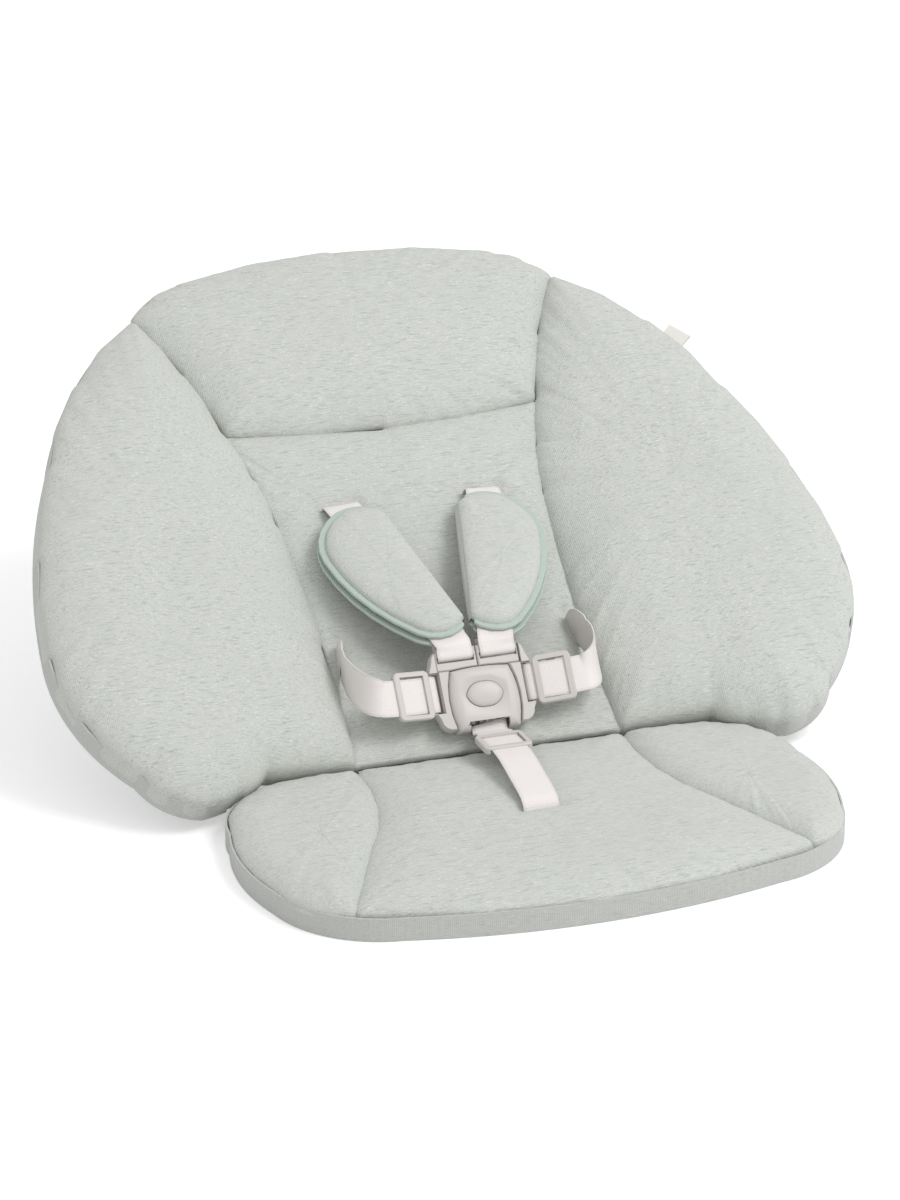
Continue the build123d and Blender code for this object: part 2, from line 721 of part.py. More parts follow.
def buckle():
    """Buckle: two shells, sprung oval button, latch plate and the bar for the crotch strap."""
    outline, centre = body_outline(), (0.0, -7.0)
    low = shell_wall
    front = cushion(outline, centre, 0.0, 2.6, buckle_front, 6.4, tuck=0.0, chords=6)
    hollow = ring_points(outline, centre, low)
    front -= cushion(hollow, centre, -0.1, 1.8, buckle_front - 2.2, 5.6, 0.0, 2)
    hole_x, hole_y = button_half_x + button_gap, button_half_y + button_gap
    front -= button_prism(hole_x, hole_y, 0, 12)
    ledge = buckle_front - 1.1
    front -= ellipse_stack([
        (ledge, hole_x + 0.5, hole_y + 0.5), (buckle_front + 0.05, hole_x + 3.1, hole_y + 3.1),
    ])
    levels = [(buckle_rear, 3.2), (buckle_rear + 0.8, 1.2), (buckle_rear + 2.2, 0.2), (0, 0)]
    rear = stack(outline, centre, levels, 6)
    floor = buckle_rear + shell_wall
    rear -= plate(outline, centre, low, floor, 1, 4)
    mouth = Location((0, body_bottom, 12 + floor)) * Box(2 * notch_half, 2 * notch_height, 24)
    front -= mouth
    rear -= mouth
    window = Location((0, 0, prong_bottom / 2 - 0.2)) * Box(80, 2 * prong_half + 0.8, -prong_bottom + 0.4)
    rear -= window
    bar_y = body_bottom + 9.0
    bar = Location((0, bar_y, -1.8), (0, 90, 0)) * Cylinder(bar_diameter / 2, 1.8 * body_half_width)
    rear += bar
    rear += Location((0, button_y, floor + 1.2)) * Cylinder(1.1, 2.6)
    under = buckle_front - 2.2 - 0.4
    button = button_prism(button_half_x, button_half_y, under - 0.2, buckle_front - 0.6)
    button += ellipse_stack([
        (buckle_front - 0.6, button_half_x, button_half_y),
        (buckle_front + 0.2, 0.93 * button_half_x, 0.91 * button_half_y),
        (buckle_front + 0.8, 0.72 * button_half_x, 0.68 * button_half_y),
    ])
    button += button_prism(button_half_x + 1.5, button_half_y + 1.5, under - 1.0, under)
    seat_level = prong_bottom - 0.4
    button += Location((0, button_y, seat_level)) * Cylinder(
        4.7, under - seat_level, align=(Align.CENTER, Align.CENTER, Align.MIN)
    )
    bore_top = 1.9
    button -= Location((0, button_y, seat_level - 1)) * Cylinder(
        3.6, bore_top - seat_level + 1, align=(Align.CENTER, Align.CENTER, Align.MIN)
    )
    latch = Location((0, 0, seat_level - 0.5)) * Box(31, 8, 1.0)
    latch += Location((0, button_y / 2, seat_level - 0.5)) * Box(14, 16, 1.0)
    latch -= Location((0, button_y, seat_level)) * Cylinder(3.7, 6)
    for side in (1, -1):
        nub = Location((side * 11, 0, seat_level + 1.0)) * Box(3, 5, 2.2)
        latch += nub
    spring_low = floor + 0.35
    spring_turns = 5
    steps = 12 * spring_turns
    rise = bore_top - 0.35 - spring_low
    coil = [
        Vector(2.75 * cos(radians(30 * i)), button_y + 2.75 * sin(radians(30 * i)), spring_low + rise * i / steps)
        for i in range(steps + 1)
    ]
    spring = webbing(coil, [Vector(0, 0, 1)] * len(coil), 0.6, 0.6)
    shapes = {
        "buckle_front_shell": front,
        "buckle_rear_shell": rear,
        "buckle_button": button,
        "latch_plate": latch,
        "button_spring": spring,
    }
    for name, shape in shapes.items():
        parts[name] = buckle_frame * shape


def waist_tongue():
    """Right side piece of the buckle: ear with the waist slot and the prong that enters the body."""
    edge, inner = body_half_width + 0.4, tongue_half_width + 0.8
    outline = [
        (0.84 * edge, body_top + 0.6), (edge, -6.0), (0.90 * edge, body_bottom + 2.2),
        (ear_half_width - 9.9, body_bottom + 2.6), (ear_half_width - 4.8, -19.0),
        (ear_half_width - 1.0, -10.0), (ear_half_width, 0.5), (ear_half_width - 1.2, 12.5),
        (ear_half_width - 4.6, 21.5), (ear_half_width - 5.8, 25.6), (inner, tongue_height - 0.6),
        (inner, 20.0), (inner, body_top + 0.6), (inner - 4.4, body_top + 0.6),
    ]
    centre = (ear_half_width - 7.9, -1.0)
    levels = [(-5.4, 1.0), (-4.2, 0.0), (3.8, 0.0), (5.3, 1.1)]
    piece = stack(outline, centre, levels, 4)
    half = webbing_width / 2 + 1.1
    over = Location((ear_slot_inner - 0.6 + 10, 0, ear_top + 5)) * Box(20, 2 * half + 1.6, 10)
    below = Location((ear_slot_inner - 0.6 + 10, 0, ear_bottom - 5)) * Box(20, 2 * half + 1.6, 10)
    slot_middle = (ear_slot_inner + ear_slot_outer) / 2
    slot = Location((slot_middle, 0, 0)) * Box(ear_slot_outer - ear_slot_inner, 2 * half, 40)
    piece = piece - over - below - slot
    thick = prong_top - prong_bottom
    length = edge + 2.0 - prong_tip
    prong = Location((prong_tip + length / 2, 0, prong_bottom + thick / 2)) * Box(length, 2 * prong_half, thick)
    prong = chamfer(prong.edges().filter_by(Axis.Z).group_by(Axis.X)[0], 1.2)
    prong -= Location((11, 0, 0)) * Box(4.4, 6.0, 20)
    piece += prong
    leaf = Location((inner - 3.7, 16.0, -3.8)) * Box(7.4, 8.0, 2.4)
    piece += leaf
    piece -= Location((peg_x, 17.2, -4)) * Cylinder(1.8, 6)
    return buckle_frame * piece


def shoulder_tongue():
    """Right upper plate of the buckle, with the slot of the shoulder strap, pegged to the side piece."""
    outline = [
        (0.35, body_top + 2.0), (10.5, body_top + 1.75), (0.82 * body_half_width, body_top + 0.95),
        (tongue_half_width - 4.6, body_top + 0.95), (tongue_half_width + 0.3, body_top + 0.95),
        (tongue_half_width + 0.3, 20.5), (tongue_half_width + 0.3, tongue_height - 3.0),
        (tongue_half_width - 0.6, tongue_height - 0.8), (tongue_half_width - 3.2, tongue_height),
        (13.0, tongue_height + 1.0), (0.35, tongue_height + 1.2), (0.35, 22.0),
    ]
    centre = (tongue_half_width / 2 + 0.2, 22.0)
    levels = [(tongue_rear, 0.6), (tongue_rear + 0.7, 0.0), (tongue_front - 0.9, 0.0), (tongue_front, 0.9)]
    piece = stack(outline, centre, levels, 3)
    bar_low = tongue_height - tongue_bar
    middle_x = tongue_half_width / 2 + 0.5
    slot = Location((middle_x, bar_low - tongue_slot / 2, 0)) * Box(webbing_width + 1.6, tongue_slot, 30)
    piece -= slot
    piece += Location((peg_x, 17.2, tongue_rear - 1.1)) * Cylinder(1.6, 2.8)
    return buckle_frame * piece


def fold_tape():
    """Cloth that joins the seat and the back along the crease and bends there."""
    half = webbing_thickness / 2
    low = Vector(0, -crease_gap + 0.5, fold_height - 1.6)
    high = on_back(0, crease_gap - 0.5, -0.9)
    middle = Vector(0, 0, fold_height - 1.7)
    side = Vector(1, 0, 0)
    return webbing([low, middle, high], [side] * 3, 2 * crease_half_width - 8, 0.8)


def harness():
    """Five-point harness, hung from the back and the seat and closed on the buckle."""
    right = {
        "shoulder_strap": shoulder_strap(),
        "waist_strap": waist_strap(),
        "waist_tongue": waist_tongue(),
        "shoulder_tongue": shoulder_tongue(),
    }
    start, outward = slider_line(1)
    normal = outward.cross(buckle_frame.y_dir)
    right["waist_slider"] = slider(start + outward * 14.4, outward, normal)
    right["shoulder_pad"], right["shoulder_binding"] = shoulder_pad()
    for name, shape in right.items():
        parts[f"{name}_right"] = shape
        parts[f"{name}_left"] = mirrored(shape)
    parts["crotch_strap"] = crotch_strap()
    start, direction, centre = crotch_slider_line()
    parts["crotch_slider"] = slider(centre, direction, direction.cross(Vector(1, 0, 0)))
    parts["fold_tape"] = fold_tape()


seat()
spine()
wings()
buckle()
harness()
os.makedirs("parts", exist_ok=True)
for name, shape in parts.items():
    shape.label = name
    export_step(shape, f"parts/{name}.step")
print(len(parts), "parts")
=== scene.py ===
import json
import math
import random

import bmesh
import bpy
import numpy as np
from mathutils import Matrix, Vector, noise


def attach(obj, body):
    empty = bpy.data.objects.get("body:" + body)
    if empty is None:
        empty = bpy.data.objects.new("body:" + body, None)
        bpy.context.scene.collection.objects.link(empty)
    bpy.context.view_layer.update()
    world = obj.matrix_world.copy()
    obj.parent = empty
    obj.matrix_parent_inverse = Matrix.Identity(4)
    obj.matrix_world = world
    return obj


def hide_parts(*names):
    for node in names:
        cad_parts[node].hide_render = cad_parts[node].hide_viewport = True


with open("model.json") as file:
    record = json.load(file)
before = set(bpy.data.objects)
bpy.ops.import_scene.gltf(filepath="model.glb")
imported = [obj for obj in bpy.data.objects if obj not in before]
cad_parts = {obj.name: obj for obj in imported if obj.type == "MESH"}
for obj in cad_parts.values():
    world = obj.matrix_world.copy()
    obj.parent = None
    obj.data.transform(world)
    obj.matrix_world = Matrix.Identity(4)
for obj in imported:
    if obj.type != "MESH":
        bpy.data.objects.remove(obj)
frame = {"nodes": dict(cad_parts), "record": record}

MM = 0.001
nodes = frame["nodes"]
scene = bpy.context.scene
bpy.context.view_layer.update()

# Camera
# A long lens from the front left and a little above. The frame's origin lies right of and below the
# picture's middle, so the lens is shifted.
AZIMUTH, ELEVATION, DISTANCE = math.radians(18.6), math.radians(25.45), 3.0
PICTURE_WIDTH, PICTURE_HEIGHT = 900, 1200
FOCAL, ORIGIN_X, ORIGIN_Y = 4380, 489.5, 775.2
look = Vector((
    math.sin(AZIMUTH) * math.cos(ELEVATION),
    math.cos(AZIMUTH) * math.cos(ELEVATION),
    -math.sin(ELEVATION),
))
lens = bpy.data.cameras.new("camera")
lens.sensor_fit, lens.sensor_height = "VERTICAL", 36.0
lens.lens = lens.sensor_height * FOCAL / PICTURE_HEIGHT
lens.shift_x = (PICTURE_WIDTH / 2 - ORIGIN_X) / PICTURE_HEIGHT
lens.shift_y = (ORIGIN_Y - PICTURE_HEIGHT / 2) / PICTURE_HEIGHT
camera = bpy.data.objects.new("camera", lens)
camera.location = -look * DISTANCE
camera.rotation_euler = look.to_track_quat("-Z", "Y").to_euler()
scene.collection.objects.link(camera)
scene.camera = camera
scene.view_settings.view_transform = "Standard"


# Shader helpers
# Socket wraps a shader value so that it can be scaled and added like a number.
class Socket:
    def __init__(self, tree, out):
        self.tree, self.out = tree, out

    def math(self, operation, other=None):
        node = self.tree.nodes.new("ShaderNodeMath")
        node.operation = operation
        self.tree.links.new(self.out, node.inputs[0])
        if isinstance(other, Socket):
            self.tree.links.new(other.out, node.inputs[1])
        elif other is not None:
            node.inputs[1].default_value = other
        return Socket(self.tree, node.outputs[0])

    def __add__(self, other):
        return self.math("ADD", other)

    def __sub__(self, other):
        return self.math("SUBTRACT", other)

    def __mul__(self, other):
        return self.math("MULTIPLY", other)

    def band(self, low, high):
        """0 below low, 1 above high."""
        node = self.tree.nodes.new("ShaderNodeMapRange")
        self.tree.links.new(self.out, node.inputs["Value"])
        node.inputs["From Min"].default_value, node.inputs["From Max"].default_value = low, high
        return Socket(self.tree, node.outputs["Result"])


class Paint:
    """A material with one Principled shader."""

    def __init__(self, name, roughness, sheen=0.0, coat=0.0):
        self.material = bpy.data.materials.new(name)
        self.material.use_nodes = True
        self.tree = self.material.node_tree
        self.shader = self.tree.nodes["Principled BSDF"]
        self.shader.inputs["Roughness"].default_value = roughness
        self.shader.inputs["Sheen Weight"].default_value = sheen
        self.shader.inputs["Coat Weight"].default_value = coat

    def place(self, kind="Object", stretch=(1, 1, 1)):
        coordinates = self.tree.nodes.new("ShaderNodeTexCoord")
        node = self.tree.nodes.new("ShaderNodeVectorMath")
        node.operation = "MULTIPLY"
        self.tree.links.new(coordinates.outputs[kind], node.inputs[0])
        node.inputs[1].default_value = stretch
        return Socket(self.tree, node.outputs[0])

    def noise(self, vector, detail=2.0, roughness=0.5):
        node = self.tree.nodes.new("ShaderNodeTexNoise")
        self.tree.links.new(vector.out, node.inputs["Vector"])
        node.inputs["Scale"].default_value = 1.0
        node.inputs["Detail"].default_value = detail
        node.inputs["Roughness"].default_value = roughness
        return Socket(self.tree, node.outputs[0])

    def axis(self, vector, letter):
        node = self.tree.nodes.new("ShaderNodeSeparateXYZ")
        self.tree.links.new(vector.out, node.inputs[0])
        return Socket(self.tree, node.outputs[letter])

    def mix(self, factor, a, b):
        node = self.tree.nodes.new("ShaderNodeMix")
        node.data_type = "RGBA"
        self.tree.links.new(factor.out, node.inputs[0])
        for value, socket in ((a, node.inputs[6]), (b, node.inputs[7])):
            if isinstance(value, Socket):
                self.tree.links.new(value.out, socket)
            else:
                socket.default_value = (*value, 1.0)
        return Socket(self.tree, node.outputs[2])

    def colour(self, value):
        self.tree.links.new(value.out, self.shader.inputs["Base Color"])

    def bump(self, height, strength, distance):
        node = self.tree.nodes.new("ShaderNodeBump")
        node.inputs["Strength"].default_value = strength
        node.inputs["Distance"].default_value = distance
        self.tree.links.new(height.out, node.inputs["Height"])
        self.tree.links.new(node.outputs[0], self.shader.inputs["Normal"])


# Materials
# Melange knit: short pale and dark slubs that lie across, over a fine rib. Jersey and binding are the same
# cloth, quieter. Lengths in the stretches are features per metre.
def knit(name, base, dark, pale, slub=1.0, grain=0.5):
    paint = Paint(name, 0.9, sheen=0.15)
    long_slubs = paint.noise(paint.place(stretch=(95, 900, 900)), 3.0, 0.6)
    short_slubs = paint.noise(paint.place(stretch=(260, 1500, 1500)), 2.0, 0.6)
    cloud = paint.noise(paint.place(stretch=(14, 20, 20)), 2.0)
    shade = paint.mix(long_slubs.band(0.52, 0.74) * slub, base, dark)
    shade = paint.mix(short_slubs.band(0.56, 0.76) * slub, shade, pale)
    tint = tuple(0.94 * c for c in base)
    paint.colour(paint.mix(cloud.band(0.35, 0.75) * 0.35, shade, tint))
    rib = paint.place(stretch=(5200, 5200, 5200))
    wale = paint.axis(rib, "X").math("SINE") + paint.axis(rib, "Y").math("SINE")
    paint.bump(wale * 0.25 + long_slubs * 1.2 + short_slubs, grain, 0.0004)
    return paint.material


def webbing_cloth(name, base, shadow):
    paint = Paint(name, 0.42, sheen=0.1)
    across = paint.axis(paint.place("UV"), "X")
    along = paint.axis(paint.place("UV"), "Y")
    edge = (across - 0.5).math("ABSOLUTE").band(0.43, 0.455)
    weave = (across * 160.0).math("SINE") * 0.4 + (along * 150.0).math("SINE") * 0.6
    fleck = paint.noise(paint.place("UV", (40, 60, 1)), 2.0)
    body = paint.mix(fleck.band(0.4, 0.7) * 0.3, base, shadow)
    paint.colour(paint.mix(edge * 0.35, body, shadow))
    paint.bump(weave + edge * 1.5, 0.35, 0.0003)
    return paint.material


def moulded(name, base, roughness):
    paint = Paint(name, roughness)
    grain = paint.noise(paint.place(stretch=(1800, 1800, 1800)), 2.0)
    cloud = paint.noise(paint.place(stretch=(40, 40, 40)), 2.0)
    paint.colour(paint.mix(cloud.band(0.3, 0.7) * 0.25, base, tuple(0.93 * c for c in base)))
    paint.bump(grain, 0.12, 0.0001)
    return paint.material


SAGE, SAGE_DARK, SAGE_PALE = (0.55, 0.57, 0.535), (0.35, 0.375, 0.35), (0.77, 0.78, 0.75)
paints = {
    "melange_knit": knit("melange_knit", SAGE, SAGE_DARK, SAGE_PALE),
    "pad_knit": knit("pad_knit", SAGE, SAGE_DARK, SAGE_PALE, 0.8),
    "gusset_jersey": knit("gusset_jersey", (0.50, 0.515, 0.49), (0.36, 0.38, 0.36), (0.64, 0.65, 0.62), 0.8),
    "rear_cloth": knit("rear_cloth", (0.50, 0.53, 0.50), (0.42, 0.45, 0.42), (0.58, 0.60, 0.57), 0.4, 0.3),
    "binding": knit("binding", (0.45, 0.53, 0.48), (0.37, 0.45, 0.41), (0.55, 0.62, 0.57), 0.3, 0.3),
    "foam": moulded("foam", (0.80, 0.80, 0.76), 0.9),
    "stiffener": moulded("stiffener", (0.45, 0.42, 0.36), 0.9),
    "board_plastic": moulded("board_plastic", (0.62, 0.62, 0.60), 0.6),
    "bar_plastic": moulded("bar_plastic", (0.60, 0.57, 0.52), 0.5),
    "webbing": webbing_cloth("webbing", (0.81, 0.765, 0.75), (0.60, 0.56, 0.54)),
    "buckle_plastic": moulded("buckle_plastic", (0.57, 0.54, 0.52), 0.42),
    "button_plastic": moulded("button_plastic", (0.57, 0.54, 0.52), 0.40),
    "spring_steel": moulded("spring_steel", (0.50, 0.50, 0.50), 0.35),
    "label_satin": moulded("label_satin", (0.72, 0.70, 0.66), 0.5),
}
slot_of = {part["node"]: part["material_slot"] for part in frame["record"]["subparts"]}
body_of = {n: b for b, names in frame["record"]["behaviour"]["bodies"].items() for n in names}
for name, node in nodes.items():
    node.data.materials.clear()
    node.data.materials.append(paints[slot_of[name]])


# Frames of the flat pieces, in millimetres
# The same as the model's: back plane, wing plane turned about its slanting seam, and buckle plane.
def placed(origin, x_axis, z_axis):
    x, z = Vector(x_axis).normalized(), Vector(z_axis).normalized()
    columns = (x, z.cross(x), z, Vector(origin))
    return Matrix([[c[row] for c in columns] for row in range(3)] + [[0, 0, 0, 1]])


RECLINE, WING_FOLD, BUCKLE_TILT = math.radians(32.5), math.radians(9.0), math.radians(54.0)
GROUND = Matrix.Identity(4)
BACK = placed((0, 0, 15), (1, 0, 0), (0, -math.sin(RECLINE), math.cos(RECLINE)))
BUCKLE = placed((0, 17, 57.5), (1, 0, 0), (0, -math.sin(BUCKLE_TILT), math.cos(BUCKLE_TILT)))
hinge = Matrix.Translation((97, 0, 0))
WING = BACK @ hinge @ Matrix.Rotation(-WING_FOLD, 4, Vector((63, 396, 0))) @ hinge.inverted()


def on_back(x, s, h):
    return BACK @ Vector((x, s, h))


def on_buckle(x, y, z):
    return BUCKLE @ Vector((x, y, z))


# Mesh helpers
# Pieces are built in millimetres and stored in metres; a left-hand piece is a right-hand one mirrored.
def build(name, points, faces, body, slot, replaced, mirror=False, uvs=None):
    turned = [(-p[0], p[1], p[2]) if mirror else tuple(p) for p in points]
    loops = [f[::-1] if mirror else f for f in faces]
    mesh = bpy.data.meshes.new(name)
    mesh.from_pydata([tuple(c * MM for c in p) for p in turned], [], loops)
    if uvs is not None:
        layer = mesh.uv_layers.new(name="UVMap")
        for loop in mesh.loops:
            layer.data[loop.index].uv = uvs[loop.vertex_index]
    mesh.validate()
    for polygon in mesh.polygons:
        polygon.use_smooth = True
    mesh.set_sharp_from_angle(angle=math.radians(55))
    mesh.materials.append(paints[slot])
    obj = bpy.data.objects.new(name, mesh)
    scene.collection.objects.link(obj)
    if body:
        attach(obj, body)
    if replaced:
        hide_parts(*replaced)
    return obj


FILL_OUT = 2.3  # the filling presses each pad's rim this far into its neighbours


def rim_of(node, plane, height, spacing=3.0):
    """A cushion's outline at its rim, from its CAD solid: evenly spaced points, let out by the filling."""
    inverse = plane.inverted()
    corners = set()
    for vertex in nodes[node].data.vertices:
        x, y, z = inverse @ (nodes[node].matrix_world @ vertex.co / MM)
        if abs(z - height) < 0.05:
            corners.add((round(x, 1), round(y, 1)))
    corners = np.array(sorted(corners))
    middle = (corners.min(axis=0) + corners.max(axis=0)) / 2
    turn = np.arctan2(corners[:, 1] - middle[1], corners[:, 0] - middle[0])
    corners = corners[np.argsort(turn)]
    closed = np.vstack([corners, corners[:1]])
    run = np.concatenate([[0], np.cumsum(np.linalg.norm(np.diff(closed, axis=0), axis=1))])
    count = int(run[-1] / spacing)
    at = np.linspace(0, run[-1], count, endpoint=False)
    points = np.stack([np.interp(at, run, closed[:, i]) for i in (0, 1)], axis=1)
    kernel = np.exp(-0.5 * (np.arange(-4, 5) / 1.0) ** 2)
    kernel /= kernel.sum()
    rounded = sum(k * np.roll(points, shift, axis=0) for k, shift in zip(kernel, range(-4, 5)))
    tangent = np.roll(rounded, -2, axis=0) - np.roll(rounded, 2, axis=0)
    outward = np.stack([tangent[:, 1], -tangent[:, 0]], axis=1)
    return rounded + FILL_OUT * outward / np.linalg.norm(outward, axis=1)[:, None], at


def edge_distance(points, outline):
    nearest = np.full(len(points), 1e9)
    for a, b in zip(outline, np.roll(outline, -1, axis=0)):
        along = b - a
        share = np.clip(((points - a) @ along) / max(along @ along, 1e-9), 0, 1)
        nearest = np.minimum(nearest, np.linalg.norm(points - a - share[:, None] * along, axis=1))
    return nearest


def gathers(at, distance, seed, depth):
    """Small folds that run in from a sewn edge and fade away from it."""
    dice = random.Random(seed)
    total = np.zeros(len(distance))
    for wave in (11.0, 17.0, 26.0, 43.0):
        phase, swing = dice.uniform(0, 6.28), dice.uniform(0.6, 1.0)
        drift = 0.8 * np.sin(at / 37.0 + phase)
        total += swing * np.sin(2 * math.pi * at / wave + phase + drift) * np.exp(-distance / (0.8 * wave))
    return depth * total / 2.2


def cushion(outline, at, bottom, rim, top, crown, seed, depth=0.9, dents=(), soften=1.0, rings=44):
    """Filled cover: rounded sides, crowned top with gathers along the edge, flat underside.

    crown is how far in from the edge the top levels out; a dent is (x, y, half length, slant, depth).
    """
    middle = (outline.min(axis=0) + outline.max(axis=0)) / 2
    share = (np.arange(rings) / rings) ** 1.35
    flat = np.concatenate([middle + (outline - middle) * (1 - s) for s in share] + [middle[None]])
    run = np.concatenate([np.tile(at, rings), [0.0]])
    distance = edge_distance(flat, outline)
    rise = np.clip(distance / crown, 0, 1)
    height = rim + 0.6 + (top - rim - 0.6) * np.sqrt(1 - (1 - rise) ** 2)
    height += gathers(run, distance, seed, depth) * np.minimum(1, distance / 7)
    for i, (x, y) in enumerate(flat):
        broad = noise.noise(Vector((x / 46.0, y / 60.0, seed * 3.1)))
        fine = noise.noise(Vector((x / 19.0, y / 24.0, seed)))
        height[i] += soften * 1.1 * (broad + 0.4 * fine) * min(1.0, distance[i] / 14.0)
    for x, y, half, slant, sink in dents:
        ends = Vector((math.cos(slant), math.sin(slant))) * half
        line = np.array([[x - ends.x, y - ends.y], [x + ends.x, y + ends.y]])
        away = edge_distance(flat, line)
        height -= sink * np.exp(-((away / 6.0) ** 2))
    points = [(x, y, h) for (x, y), h in zip(flat, height)]
    count = len(outline)
    faces = []
    for r in range(rings - 1):
        for i in range(count):
            j = (i + 1) % count
            faces.append((r * count + i, r * count + j, (r + 1) * count + j, (r + 1) * count + i))
    last = (rings - 1) * count
    faces += [(last + i, last + (i + 1) % count, rings * count) for i in range(count)]
    previous = list(range(count))
    for tuck, low in ((-0.25, 0.7), (-0.1, 0.4), (0.5, 0.15), (1.2, 0.0)):
        reach = np.abs(outline - middle).max(axis=0)
        ring = middle + (outline - middle) * (1 - tuck / reach)
        start = len(points)
        points += [(x, y, bottom + (rim - bottom) * low) for x, y in ring]
        faces += [
            (previous[(i + 1) % count], previous[i], start + i, start + (i + 1) % count) for i in range(count)
        ]
        previous = list(range(start, start + count))
    points.append((middle[0], middle[1], bottom))
    faces += [(previous[(i + 1) % count], previous[i], len(points) - 1) for i in range(count)]
    return points, faces


def pad(node, plane, bottom, rim, top, crown, seed, mirror_of=None, **form):
    """Visible cushion in place of a CAD one; a left pad takes its outline from the right one."""
    outline, at = rim_of(mirror_of or node, plane, rim)
    points, faces = cushion(outline, at, bottom, rim, top, crown, seed, **form)
    world = [plane @ Vector(p) for p in points]
    obj = build(f"{node}_cloth", world, faces, body_of[node], slot_of[node], [node], mirror=bool(mirror_of))
    return obj


# Seat cushion
# Three quilted pads of knit over the board, with a jersey gusset round them; the middle one has the crotch slot.
SEAT_LOW, SEAT_RIM, CROTCH_Y = 10.8, 14.0, -107
pad("seat_centre_pad", GROUND, SEAT_LOW, SEAT_RIM, 27.0, 46, 1, dents=((0, CROTCH_Y, 15, 0, 3.0),))
pad("seat_right_pad", GROUND, SEAT_LOW, SEAT_RIM, 26.0, 26, 2)
pad("seat_left_pad", GROUND, SEAT_LOW, SEAT_RIM, 26.0, 26, 3, mirror_of="seat_right_pad")

# Back
# Recessed middle pad with four harness slots, and a thicker head pad over it.
BACK_LOW = -2.3
SHOULDER_X, SHOULDER_S, WAIST_X, WAIST_S = 52, 216, 84, 87
WAIST_SLANT = math.radians(8.8)
waist = math.radians(90) + WAIST_SLANT
pad(
    "back_centre_pad", BACK, BACK_LOW, 2.5, 8.5, 30, 4,
    dents=(
        (SHOULDER_X, SHOULDER_S, 13, 0, 3.5), (-SHOULDER_X, SHOULDER_S, 13, 0, 3.5),
        (WAIST_X, WAIST_S, 20, waist, 3.0), (-WAIST_X, WAIST_S, 20, math.pi - waist, 3.0),
    ),
)
pad("head_pad", BACK, BACK_LOW, 3.5, 20.0, 52, 5, depth=1.1)

# Wings
# Two large loose-filled pads beside the back, each folded a little forward about its seam.
wing_form = {"bottom": -10.2, "rim": 4.0, "top": 26.0, "crown": 62, "depth": 1.2, "soften": 1.6, "rings": 60}
pad("right_wing_pad", WING, seed=6, **wing_form)
pad("left_wing_pad", WING, seed=7, mirror_of="right_wing_pad", **wing_form)


# Moulded parts
# Buckle shells, button, tongues and slides: their CAD solids with softened edges.
def finished(node, bevel, stretch=None):
    source = nodes[node]
    mesh = source.data.copy()
    shape = bmesh.new()
    shape.from_mesh(mesh)
    shape.transform(source.matrix_world)
    if stretch is not None:
        shape.transform(stretch)
    bmesh.ops.remove_doubles(shape, verts=shape.verts, dist=4e-6)
    bmesh.ops.dissolve_limit(shape, angle_limit=math.radians(0.5), verts=shape.verts, edges=shape.edges)
    bmesh.ops.recalc_face_normals(shape, faces=shape.faces)
    shape.to_mesh(mesh)
    shape.free()
    if "custom_normal" in mesh.attributes:
        mesh.attributes.remove(mesh.attributes["custom_normal"])
    for polygon in mesh.polygons:
        polygon.use_smooth = True
    mesh.set_sharp_from_angle(angle=math.radians(32))
    obj = bpy.data.objects.new(f"{node}_finished", mesh)
    scene.collection.objects.link(obj)
    edge = obj.modifiers.new("edge", "BEVEL")
    edge.width, edge.segments, edge.limit_method = bevel * MM, 2, "ANGLE"
    edge.angle_limit = math.radians(32)
    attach(obj, body_of[node])
    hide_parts(node)
    return obj


for node, bevel in (
    ("buckle_front_shell", 0.35), ("buckle_rear_shell", 0.4), ("buckle_button", 0.3),
    ("waist_tongue_right", 0.5), ("waist_tongue_left", 0.5),
    ("shoulder_tongue_right", 0.5), ("shoulder_tongue_left", 0.5),
    ("waist_slider_right", 0.45), ("waist_slider_left", 0.45), ("crotch_slider", 0.45),
):
    finished(node, bevel)


# Webbing
# Off-white woven straps 25 mm wide; each route is the model's, smoothed between its points.
WEB_WIDTH, WEB_THICK, TONGUE_MIDDLE, SLOT_SIDE = 25.0, 1.2, 15.3, 1.6


def smooth_route(points, widths, step=2.0):
    """A curve through the points, with the direction across the webbing carried along."""
    out_points, out_widths = [], []
    for i in range(len(points) - 1):
        a, b = points[i], points[i + 1]
        before, after = points[max(i - 1, 0)], points[min(i + 2, len(points) - 1)]
        length = (b - a).length
        lead = (b - before).normalized() * length
        trail = (after - a).normalized() * length
        count = max(2, int(length / step))
        for k in range(count):
            t = k / count
            out_points.append(
                a * (2 * t**3 - 3 * t**2 + 1) + lead * (t**3 - 2 * t**2 + t)
                + b * (3 * t**2 - 2 * t**3) + trail * (t**3 - t**2)
            )
            out_widths.append(widths[i].lerp(widths[i + 1], t).normalized())
    return out_points + [points[-1]], out_widths + [widths[-1]]


